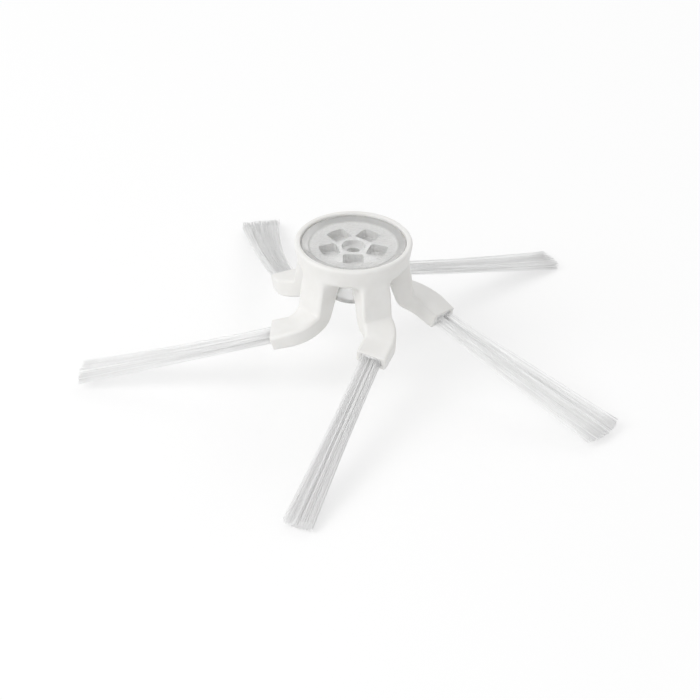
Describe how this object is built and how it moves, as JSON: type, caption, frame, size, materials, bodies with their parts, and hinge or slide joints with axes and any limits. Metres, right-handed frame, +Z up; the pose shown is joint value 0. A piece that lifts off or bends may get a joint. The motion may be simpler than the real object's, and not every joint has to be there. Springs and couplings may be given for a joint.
{
  "type": "robot vacuum side brush",
  "caption": "Spinning side brush for a robot vacuum: a soft ring on splayed, turned legs with nylon tufts in their feet, and a clear drive hub with pockets and a screw hole.",
  "frame": {"origin": "centre of the top end of the screw hole, on the hub axis", "axes": "+Z up along the hub axis, towards the drive side; +X to the right and +Y away from the viewer in the picture's view"},
  "size_m": [0.1459, 0.1503, 0.0399],
  "materials": {
    "soft_white_plastic": "soft matt moulding",
    "clear_plastic": "clear, slightly frosted",
    "nylon_bristle": "translucent filaments"
  },
  "bodies": {
    "root": {"arm_ring": "soft_white_plastic", "drive_core": "clear_plastic", "bristle_tuft_1": "nylon_bristle", "bristle_tuft_2": "nylon_bristle", "bristle_tuft_3": "nylon_bristle", "bristle_tuft_4": "nylon_bristle", "bristle_tuft_5": "nylon_bristle"}
  },
  "joints": []
}
